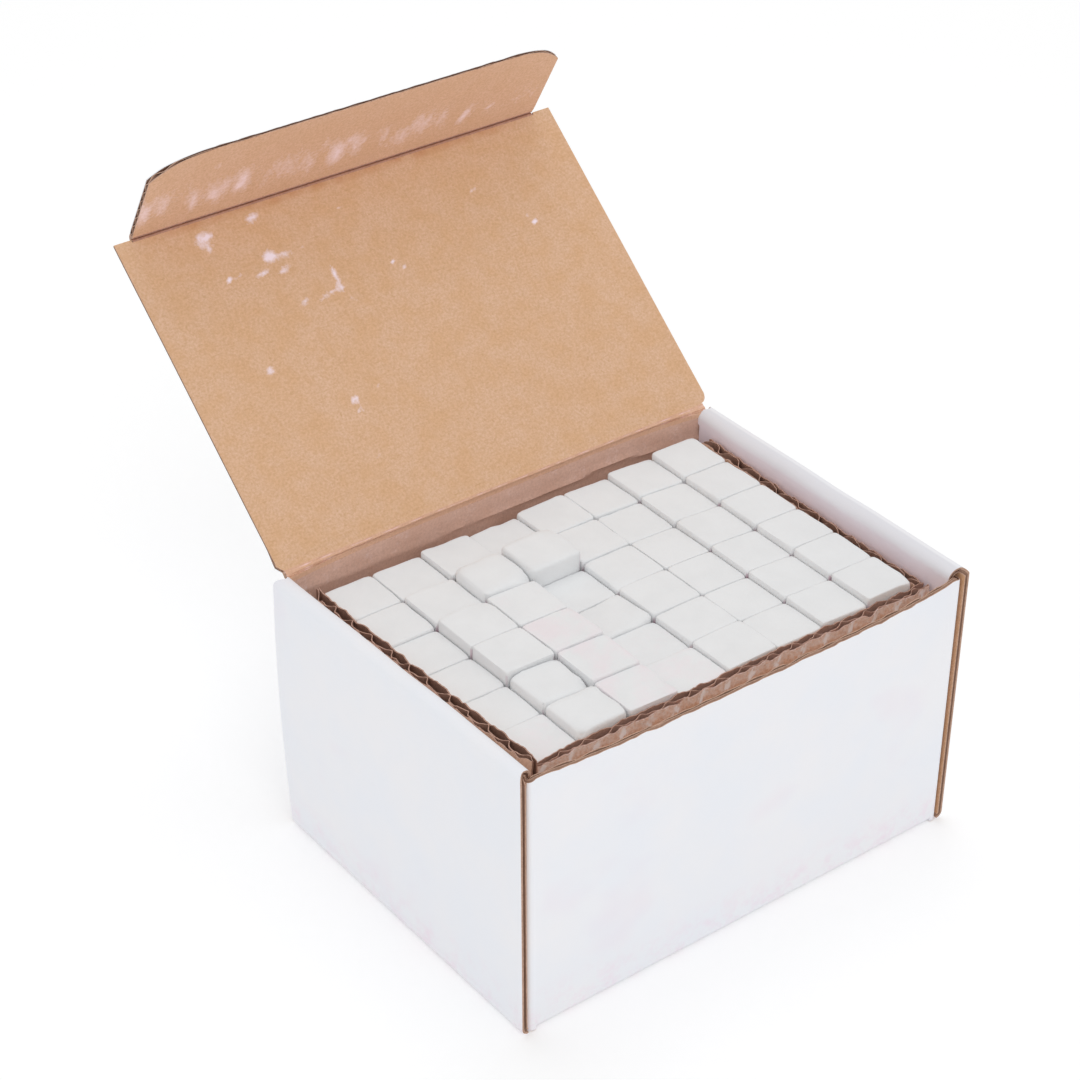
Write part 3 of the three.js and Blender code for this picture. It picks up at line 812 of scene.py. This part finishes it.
BLOCK_EDGES = {(2, 3): 1.5, (2, 4): 0.9, (6, 2): 1.25, (5, 2): 1.2, (4, 4): 0.8}
# How far a column's blocks reach past their CAD boxes, at their left and right faces.
COLUMN_REACH = {2: (0, 0.4), 3: (0.4, 0), 4: (0, 1.0), 5: (0.95, 0), 6: (0, 0.3), 7: (0.3, 0.3), 8: (0.3, 0)}
# How far a column's tops rise at their left side and drop at their right side.
COLUMN_TILT = {2: (0, 0.5), 3: (0.5, 0), 6: (0, 0.45), 7: (0.45, 0.45), 8: (0.45, 0)}
PINK_BLOCKS = {(4, 3): 0.8, (5, 3): 0.7, (6, 3): 0.65, (6, 4): 0.5, (6, 1): 0.45, (5, 4): 0.3, (3, 3): 0.3}
PLACES = [(row, column) for row in range(1, 7) for column in range(1, 9)]


def corner_dust_and_shade(points, seed):
    """Pink dust between blocks, painted dark as shade, down their upright corners just under the top."""
    low, high = points.min(0), points.max(0)
    share = np.abs(points - (low + high) / 2) / ((high - low) / 2)
    corner = step(share[:, 0], 0.88, 0.95) * step(share[:, 1], 0.88, 0.95)
    below = high[2] - points[:, 2]
    caught_dust_and_shade = step(below, 0.5, 2.0) * (1 - step(below, 4, 9))
    return corner * caught_dust_and_shade * np.clip(0.55 + 0.6 * wobble(points, seed + 3, 8), 0, 1)


def chalk_blocks():
    """The top layer, each block on its own body. Returns their CAD boxes."""
    template = block_template(10)
    boxes = {}
    for place in PLACES:
        row, column = place
        node = f"chalk_block_r{row}_c{column}"
        low, high = boxes[place] = box_mm(node)
        reach = COLUMN_REACH.get(column, (0, 0))
        low, high = low - np.array([reach[0], 0, 0]), high + np.array([reach[1], 0, 0])
        seed = 100 * row + column
        draw = np.random.default_rng(seed)
        edge = BLOCK_EDGES.get(place, draw.uniform(0.22, 0.42))
        lean = np.array(BLOCK_LEANS.get(place, draw.uniform(-0.12, 0.12, 2)))
        rise, drop = COLUMN_TILT.get(column, (0, 0))
        lean[0] -= (rise + drop) / 2
        high[2] += (rise - drop) / 2
        points = rounded_block(template[0], low, high, edge, seed, BLOCK_CHIPS.get(place, ()), lean)
        pink = np.clip(PINK_BLOCKS.get(place, 0) * (0.6 + 0.5 * wobble(points, seed + 2, 9, 2)), 0, 1)
        body = f"block_r{row}_c{column}"
        piece = Piece(body)
        piece.add(points, template[1], dust=pink - corner_dust_and_shade(points, seed))
        place_piece(piece.make([chalk], 50), body, node)
    return boxes


def chalk_layer(level, boxes):
    """A lower layer, as separate blocks under those of the top layer."""
    node = f"chalk_{level}_layer"
    low, high = box_mm(node)
    template = block_template(6)
    piece = Piece(f"{level}_layer_blocks")
    for row, column in PLACES:
        top_low, top_high = boxes[(row, column)]
        seed = 1000 + 100 * row + column + int(low[2])
        corner_low, corner_high = np.array([*top_low[:2], low[2]]), np.array([*top_high[:2], high[2]])
        piece.add(rounded_block(template[0], corner_low, corner_high, 0.9, seed), template[1])
    place_piece(piece.make([chalk], 50), "tray", node)


# ---- materials ----
PRINT = 1.22


def linear(colour):
    """A colour as it is to look, from 0 to 255, as the linear colour that nodes take."""
    return (*(min(PRINT * ((value / 255 + 0.055) / 1.055) ** 2.4, 0.96) for value in colour), 1)


class Look:
    """A node material with the few steps that the papers and the chalk share."""

    def __init__(self, name, roughness, specular):
        self.material = bpy.data.materials.new(name)
        self.material.use_nodes = True
        self.tree = self.material.node_tree
        self.shader = self.tree.nodes["Principled BSDF"]
        self.shader.inputs["Roughness"].default_value = roughness
        self.shader.inputs["Specular IOR Level"].default_value = specular
        coordinates = self.tree.nodes.new("ShaderNodeTexCoord")
        self.place = self.mapped(coordinates.outputs["Object"], (1 / MM, 1 / MM, 1 / MM))

    def feed(self, socket, value):
        """Links a node's output to the socket, or sets the socket to a number, a vector or a colour."""
        if isinstance(value, bpy.types.NodeSocket):
            self.tree.links.new(value, socket)
        else:
            socket.default_value = linear(value) if socket.type == "RGBA" else value

    def put(self, kind, **inputs):
        node = self.tree.nodes.new(kind)
        for key, value in inputs.items():
            self.feed(node.inputs[key.replace("_", " ")], value)
        return node

    def mapped(self, vector, scale, rotation=(0, 0, 0)):
        return self.put("ShaderNodeMapping", Vector=vector, Scale=scale, Rotation=rotation).outputs[0]

    def noise(self, scale, detail=3.0, roughness=0.55, vector=None):
        return self.put("ShaderNodeTexNoise", Vector=vector or self.place, Scale=scale, Detail=detail,
                        Roughness=roughness).outputs["Fac"]

    def between(self, value, low, high):
        """value mapped from low..high to 0..1, clamped."""
        node = self.put("ShaderNodeMapRange", Value=value)
        node.inputs["From Min"].default_value = low
        node.inputs["From Max"].default_value = high
        return node.outputs[0]

    def maths(self, operation, a, b):
        node = self.tree.nodes.new("ShaderNodeMath")
        node.operation = operation
        for socket, value in zip(node.inputs, (a, b)):
            self.feed(socket, value)
        return node.outputs[0]

    def times(self, a, b):
        return self.maths("MULTIPLY", a, b)

    def plus(self, a, b):
        return self.maths("ADD", a, b)

    def blend(self, factor, a, b):
        """From colour a where factor is 0 to colour b where it is 1."""
        node = self.tree.nodes.new("ShaderNodeMix")
        node.data_type = "RGBA"
        for socket, value in zip((node.inputs[0], node.inputs[6], node.inputs[7]), (factor, a, b)):
            self.feed(socket, value)
        return node.outputs[2]

    def attribute(self, name):
        node = self.tree.nodes.new("ShaderNodeAttribute")
        node.attribute_name = name
        return node.outputs["Fac"]

    def finish(self, colour, height, strength, distance):
        """distance is the bump's height in millimetres."""
        self.tree.links.new(colour, self.shader.inputs["Base Color"])
        bump = self.put("ShaderNodeBump", Height=height, Strength=strength, Distance=distance * MM)
        self.tree.links.new(bump.outputs[0], self.shader.inputs["Normal"])
        return self.material


def paper(name, base, light, dark, dust_colour, fibres=1.0, mottle=0.5):
    """Kraft paper: mottled, with short fibres in three directions, and chalk dust or a stain where marked."""
    look = Look(name, 0.85, 0.25)
    cloudy = look.between(look.noise(0.16, 4), 0.36, 0.64)
    colour = look.blend(look.times(cloudy, mottle), base, light)
    grain = look.between(look.noise(1.6, 5, 0.65), 0.35, 0.68)
    colour = look.blend(look.times(grain, 0.5 * fibres), colour, dark)
    height = grain
    for turn, stretch in ((0.5, 0.35), (1.9, 0.3), (2.7, 0.4)):
        turned = look.mapped(look.place, (stretch, 4.5, 4.5), (0.3, 0.2, turn))
        threads = look.between(look.noise(1.0, 2, 0.5, turned), 0.66, 0.74)
        colour = look.blend(look.times(threads, 0.4 * fibres), colour, dark)
        height = look.plus(height, look.times(threads, 0.6))
    speck = look.between(look.noise(0.9, 1, 0.4), 0.73, 0.76)
    colour = look.blend(look.times(speck, 0.3 * fibres), colour, dark)
    stain = look.between(look.attribute("dust"), 0, -1)
    colour = look.blend(look.times(stain, look.noise(0.25, 4)), colour, (178, 118, 74))
    uneven = look.times(look.maths("SUBTRACT", look.noise(1.1, 6, 0.7), 0.5), 0.9)
    powder = look.between(look.plus(look.attribute("dust"), uneven), 0.24, 0.75)
    colour = look.blend(powder, colour, dust_colour)
    height = look.plus(height, look.times(powder, 1.2))
    return look.finish(colour, height, 0.35, 0.05)


def white_paper():
    look = Look("white_liner", 0.6, 0.3)
    cloudy = look.between(look.noise(0.05, 3), 0.35, 0.65)
    colour = look.blend(cloudy, (218, 220, 225), (221, 221, 224))
    pink = look.between(look.noise(0.035, 2, 0.6, look.mapped(look.place, (1, 1, 1.3))), 0.6, 0.78)
    low = look.tree.nodes.new("ShaderNodeSeparateXYZ")
    look.tree.links.new(look.place, low.inputs[0])
    near_floor = look.between(low.outputs[2], 14, 0)
    colour = look.blend(look.times(pink, 0.15), colour, (214, 188, 206))
    specks = look.times(near_floor, look.between(look.noise(0.2, 5, 0.75), 0.46, 0.68))
    colour = look.blend(look.times(specks, 0.38), colour, (219, 184, 205))
    # Where a face is marked it turns greyer, and where marked more it takes pink chalk dust, painted lighter
    # than the paper itself as light.
    rubbed = look.attribute("dust")
    colour = look.blend(look.between(rubbed, 0, 0.25), colour, (208, 208, 213))
    worn = look.times(look.between(rubbed, 0.25, 1), look.between(look.noise(0.05, 3), -0.3, 0.5))
    colour = look.blend(worn, colour, (243, 221, 238))
    grain = look.noise(2.2, 4, 0.6)
    soft = look.noise(0.22, 3, 0.5)
    height = look.plus(look.times(grain, 0.3), soft)
    return look.finish(colour, height, 0.25, 0.08)


def chalk_look():
    look = Look("pressed_chalk", 0.95, 0.1)
    cloudy = look.between(look.noise(0.12, 4), 0.35, 0.65)
    colour = look.blend(cloudy, (212, 213, 214), (215, 216, 217))
    pores = look.between(look.noise(3.2, 3, 0.6), 0.66, 0.76)
    colour = look.blend(look.times(pores, 0.18), colour, (190, 190, 191))
    uneven = look.times(look.maths("SUBTRACT", look.noise(0.5, 4, 0.7), 0.5), 0.7)
    pink = look.between(look.plus(look.attribute("dust"), uneven), 0.24, 0.7)
    colour = look.blend(look.times(pink, 0.4), colour, (222, 205, 211))
    # Dark pink between the blocks: pink dust, painted dark as the shade of the corners between them.
    caught_dust_and_shade = look.between(look.attribute("dust"), -0.1, -0.9)
    colour = look.blend(caught_dust_and_shade, colour, (166, 112, 134))
    grain = look.noise(1.3, 6, 0.65)
    soft = look.noise(0.35, 2, 0.5)
    height = look.plus(look.times(grain, 0.6), soft)
    height = look.maths("SUBTRACT", height, look.times(pores, 0.5))
    return look.finish(colour, height, 0.5, 0.12)


# ---- the pieces, on their bodies ----
white = white_paper()
kraft = paper("kraft_liner", (205, 166, 133), (210, 176, 152), (182, 141, 100), (228, 212, 220), 1.25, 0.7)
kraft_flap = paper("kraft_liner_of_flap", (209, 170, 142), (215, 178, 156), (184, 144, 110),
                   (230, 204, 204), 1.25)
kraft_fold = paper("kraft_liner_folded", (182, 141, 122), (196, 158, 144), (140, 104, 98),
                   (226, 200, 206), 1.4)
kraft_back = paper("kraft_liner_rubbed", (206, 168, 150), (214, 182, 168), (176, 138, 120), (228, 208, 208))
kraft_crease = paper("kraft_liner_creased", (207, 165, 137), (214, 176, 152), (180, 138, 114),
                     (222, 186, 180))
core = paper("board_core", (164, 132, 114), (180, 148, 130), (132, 102, 86), (205, 180, 170))
# Painted shade: the pads' core is their paper painted darker, as shade in the flute pockets.
pad_core_shaded = paper("pad_core_shaded", (146, 111, 96), (162, 126, 110), (112, 83, 70), (205, 180, 170))
raw = paper("raw_board_edge", (184, 152, 134), (204, 172, 150), (150, 118, 100), (225, 208, 210), 1.4)
# Painted light: a lighter copy of the pads' core for the front pad, making up for the light that its narrow
# gap keeps out.
pad_core_less_shaded = paper("pad_core_less_shaded", (164, 128, 114), (180, 143, 129), (128, 96, 83), (205, 180, 170))
pad_liner = paper("pad_liner", (210, 172, 148), (218, 184, 162), (174, 136, 112), (246, 226, 228), 1.2)
pad_raw = paper("pad_raw_edge", (172, 137, 122), (196, 162, 148), (132, 102, 88), (232, 214, 220), 1.3)
chalk = chalk_look()


def place_piece(piece, body, node):
    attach(piece, body)
    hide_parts(node)


def ridge_line(x, z):
    """A buckled ridge below the hinge crease, and a little unevenness."""
    height = 69.6 + 0.9 * wobble_line(x, 31, 60)
    strength = 0.5 + 0.5 * step(x, -30, 30)
    return strength * 0.7 * bell(z - height, 0.7) + 0.15 * wobble_plane(x, z, 33, 24)


def back_dust(s, v):
    patches = np.clip(0.5 + wobble_plane(s, 60 * v, 35, 11, 3), 0, 1)
    return 0.26 * patches * step(v, 0.86, 0.95)


def build_mailer():
    papers = [white, kraft, raw, core]
    place_piece(bottom_panel(papers), "tray", "bottom_panel")
    front = end_panel("mailer_front", -1, FRONT_TOP - 0.4, FRONT_BOW, papers)
    place_piece(front, "tray", "front_panel")
    back = end_panel("mailer_back", 1, BACK_TOP, BACK_BOW, [white, kraft_back, raw, core], back_dust,
                     ridge_line, False)
    place_piece(back, "tray", "back_panel")
    for side, name, *folds in ((-1, "left", 2.2, 1.3, 0.9, 0.2), (1, "right", 1.2, 2.7, 0, 1.0)):
        wall = rolled_wall(f"mailer_{name}_wall", side, *folds, papers)
        place_piece(wall, "tray", f"{name}_side_wall")
    place_piece(lid_panel(papers), "lid", "lid_panel")
    place_piece(tuck_flap([white, kraft_flap, raw, core]), "tuck_flap", "lid_tuck_flap")
    hinge = hinge_crease([white, kraft_crease, raw])
    tuple(lid_place(0, LID_START, 0) * MM)
    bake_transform(hinge)
    fold = flap_crease([white, kraft_fold, raw, core])
    begin, finish = lid_place(0, LID_END, 0) * MM, flap_place(0, FLAP_START, 0) * MM
    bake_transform(fold)


def build_pads():
    front_end = box_mm("pad_left")[0][1]
    pad("left_pad", "pad_left", 1, lambda t: mix(75.0, 71.8, t**0.8) + 1.2 * step(t, 0.97, 1), 3, pad_core_shaded,
        lambda u: 0.85 * (1 - step(u, front_end, front_end + 4)),
        lambda u: 0.35 * (1 - step(u, front_end, front_end + 5)))
    left_end = box_mm("pad_front")[0][0]
    pad("front_pad", "pad_front", 0, lambda t: mix(71.8, 70.9, t), 5, pad_core_less_shaded,
        lambda u: 0.9 * (1 - step(u, left_end, left_end + 9)), smears_and_light=1.0, lip=0.75)
    pad("right_pad", "pad_right", 1, lambda t: mix(70.9, 72.6, t**2), 8, pad_core_shaded,
        lambda u: (0.25 + 0.2 * wobble_line(u, 9, 14)) * (1 - step(u, 10, 35)))


def build_chalk():
    boxes = chalk_blocks()
    for level in ("middle", "bottom"):
        chalk_layer(level, boxes)


# ---- studio ----
def facing(place, way):
    """The matrix of a thing at a place that looks along a direction."""
    return Matrix.Translation(place) @ Vector(way).to_track_quat("-Z", "Y").to_matrix().to_4x4()


def camera():
    """Above the front left corner, at distances given as multiples of the box's width."""
    width = 2 * HALF_WIDTH * MM
    data = bpy.data.cameras.new("camera")
    data.lens = 93.2
    data.sensor_width = 36
    made = new_object("camera", data)
    roll = Matrix.Rotation(math.radians(0.35), 4, "Z")
    made.matrix_world = facing(Vector((-2.641, -3.195, 3.381)) * width, (0.5073, 0.6615, -0.5524)) @ roll
    bpy.context.scene.camera = made


def area_light(name, place, target, size, power):
    data = bpy.data.lights.new(name, "AREA")
    data.shape = "DISK"
    data.size = size
    data.energy = power
    new_object(name, data).matrix_world = facing(place, Vector(target) - Vector(place))


def studio():
    world = bpy.data.worlds.new("studio")
    world.use_nodes = True
    world.node_tree.nodes["Background"].inputs["Color"].default_value = (1, 1, 1, 1)
    world.node_tree.nodes["Background"].inputs["Strength"].default_value = 0.76
    bpy.context.scene.world = world
    bpy.context.scene.view_settings.view_transform = "Standard"
    aim = (0, 0, 0.05)
    area_light("key", (-0.5, -0.9, 1.3), aim, 0.9, 3.4)
    area_light("top", (0.3, 0.5, 1.4), aim, 1.0, 2.5)
    reach = 4.0
    mesh = bpy.data.meshes.new("floor")
    corners = [(-reach, -reach, 0), (reach, -reach, 0), (reach, reach, 0), (-reach, reach, 0)]
    mesh.from_pydata(corners, [], [(0, 1, 2, 3)])
    look = Look("studio_floor", 0.9, 0.1)
    soft = look.noise(0.002, 2)
    look.shader.inputs["Emission Color"].default_value = (1, 1, 1, 1)
    look.shader.inputs["Emission Strength"].default_value = 0.12
    colour = look.blend(soft, (230, 230, 230), (231, 231, 231))
    mesh.materials.append(look.finish(colour, soft, 0.0, 0.1))
    floor = new_object("floor", mesh)
    floor.location.z = -0.0002


camera()
studio()
build_mailer()
build_pads()
build_chalk()
